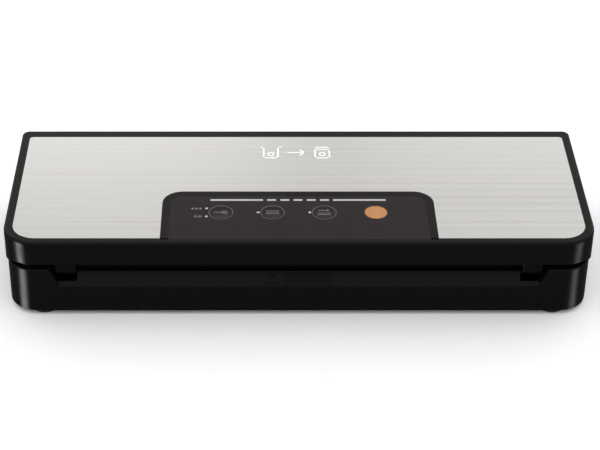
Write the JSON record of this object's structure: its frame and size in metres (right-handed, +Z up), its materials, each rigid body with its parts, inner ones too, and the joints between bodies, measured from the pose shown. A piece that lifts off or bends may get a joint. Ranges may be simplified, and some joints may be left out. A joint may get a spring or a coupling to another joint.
{
  "type": "vacuum sealer",
  "caption": "Countertop vacuum sealer for kitchen bags: hinged lid with a steel plate and control panel over a base with gaskets, seal bar, pump and latches.",
  "frame": {"origin": "on the table, under the middle of the lid", "axes": "+Z up, -Y towards the user at the front, +X to the right along the width"},
  "size_m": [0.39, 0.141, 0.059],
  "materials": {
    "black_shell": "fine satin texture",
    "dark_inner": "satin",
    "release_black": "satin",
    "panel_trim": "satin",
    "panel_gloss": "glossy",
    "ring_print": "satin",
    "orange_button": "satin gloss",
    "steel_top": "brushed along its width",
    "lamp_white": "frosted",
    "foot_rubber": "matte",
    "gasket_foam": "matte foam",
    "red_silicone": "matte",
    "hose_silicone": "satin",
    "phenolic": "satin",
    "heater": "bright",
    "release_tape": "coated cloth",
    "contact_brass": "bright",
    "grey_plastic": "satin",
    "zinc_steel": "zinc plated",
    "spring_steel": "bright",
    "white_nylon": "satin",
    "rotor_copper": "enamelled wire",
    "board_green": "solder mask",
    "coil_yellow": "tape wound",
    "capacitor_blue": "sleeve",
    "relay_blue": "glossy",
    "sink_aluminium": "extruded",
    "wire_red": "satin",
    "switch_black": "satin"
  },
  "bodies": {
    "base": {"base_housing": "black_shell", "front_ramp": "black_shell", "bottom_cover": "dark_inner", "rubber_feet": "foot_rubber", "deck": "dark_inner", "trough_floor": "dark_inner", "lower_gasket": "gasket_foam", "seal_bar": "phenolic", "heating_strip": "heater", "seal_tape": "release_tape", "strip_terminals": "contact_brass", "air_intake": "grey_plastic", "motor_can": "zinc_steel", "pump_body": "dark_inner", "diaphragm_rod": "hose_silicone", "pump_cap": "dark_inner", "pump_bracket": "zinc_steel", "suction_hose": "hose_silicone", "vent_hose": "hose_silicone", "solenoid_valve": "zinc_steel", "vacuum_switch": "white_nylon", "power_board": "board_green", "transformer": "coil_yellow", "capacitors": "capacitor_blue", "relay": "relay_blue", "heat_sink": "sink_aluminium", "lid_switch": "dark_inner", "wire_harness": "wire_red", "mains_inlet": "dark_inner", "latch_spring_left": "spring_steel", "latch_spring_right": "spring_steel", "housing_screws": "zinc_steel", "pump_screws": "zinc_steel", "board_screws": "zinc_steel"},
    "lid": {"lid_shell": "black_shell", "steel_plate": "steel_top", "panel_frame": "panel_trim", "control_panel": "panel_gloss", "button_rings": "ring_print", "status_light_guides": "lamp_white", "indicator_lights": "lamp_white", "control_board": "board_green", "tact_switches": "switch_black", "lid_liner": "dark_inner", "upper_gasket": "gasket_foam", "pressure_strip": "red_silicone", "lid_hooks": "black_shell", "hinge_pins": "spring_steel", "liner_screws": "zinc_steel", "panel_screws": "zinc_steel", "lid_cable": "grey_plastic"},
    "food_button": {"food_button": "panel_gloss"},
    "seal_button": {"seal_button": "panel_gloss"},
    "vacuum_seal_button": {"vacuum_seal_button": "panel_gloss"},
    "start_button": {"start_button": "orange_button"},
    "release_left": {"release_button_left": "release_black"},
    "release_right": {"release_button_right": "release_black"},
    "pump_rotor": {"motor_rotor": "rotor_copper", "pump_eccentric": "white_nylon"}
  },
  "joints": [
    {"name": "lid_hinge", "type": "hinge", "parent": "base", "child": "lid", "pos_m": [0, 0.0665, 0.0375], "axis": [-1, 0, 0], "range_deg": [0, 85]},
    {"name": "food_press", "type": "slide", "parent": "lid", "child": "food_button", "axis": [0, 0, -1], "range_m": [0, 0.0007], "stiffness_N_per_m": 400, "springref_m": -0.0005},
    {"name": "seal_press", "type": "slide", "parent": "lid", "child": "seal_button", "axis": [0, 0, -1], "range_m": [0, 0.0007], "stiffness_N_per_m": 400, "springref_m": -0.0005},
    {"name": "vacuum_seal_press", "type": "slide", "parent": "lid", "child": "vacuum_seal_button", "axis": [0, 0, -1], "range_m": [0, 0.0007], "stiffness_N_per_m": 400, "springref_m": -0.0005},
    {"name": "start_press", "type": "slide", "parent": "lid", "child": "start_button", "axis": [0, 0, -1], "range_m": [0, 0.0007], "stiffness_N_per_m": 400, "springref_m": -0.0005},
    {"name": "release_left_press", "type": "slide", "parent": "base", "child": "release_left", "axis": [1, 0, 0], "range_m": [0, 0.003], "stiffness_N_per_m": 600, "springref_m": -0.002, "deforming": ["latch_spring_left"]},
    {"name": "release_right_press", "type": "slide", "parent": "base", "child": "release_right", "axis": [-1, 0, 0], "range_m": [0, 0.003], "stiffness_N_per_m": 600, "springref_m": -0.002, "deforming": ["latch_spring_right"]},
    {"name": "pump_spin", "type": "hinge", "parent": "base", "child": "pump_rotor", "pos_m": [-0.083, 0.046, 0.0185], "axis": [1, 0, 0], "continuous": true}
  ]
}
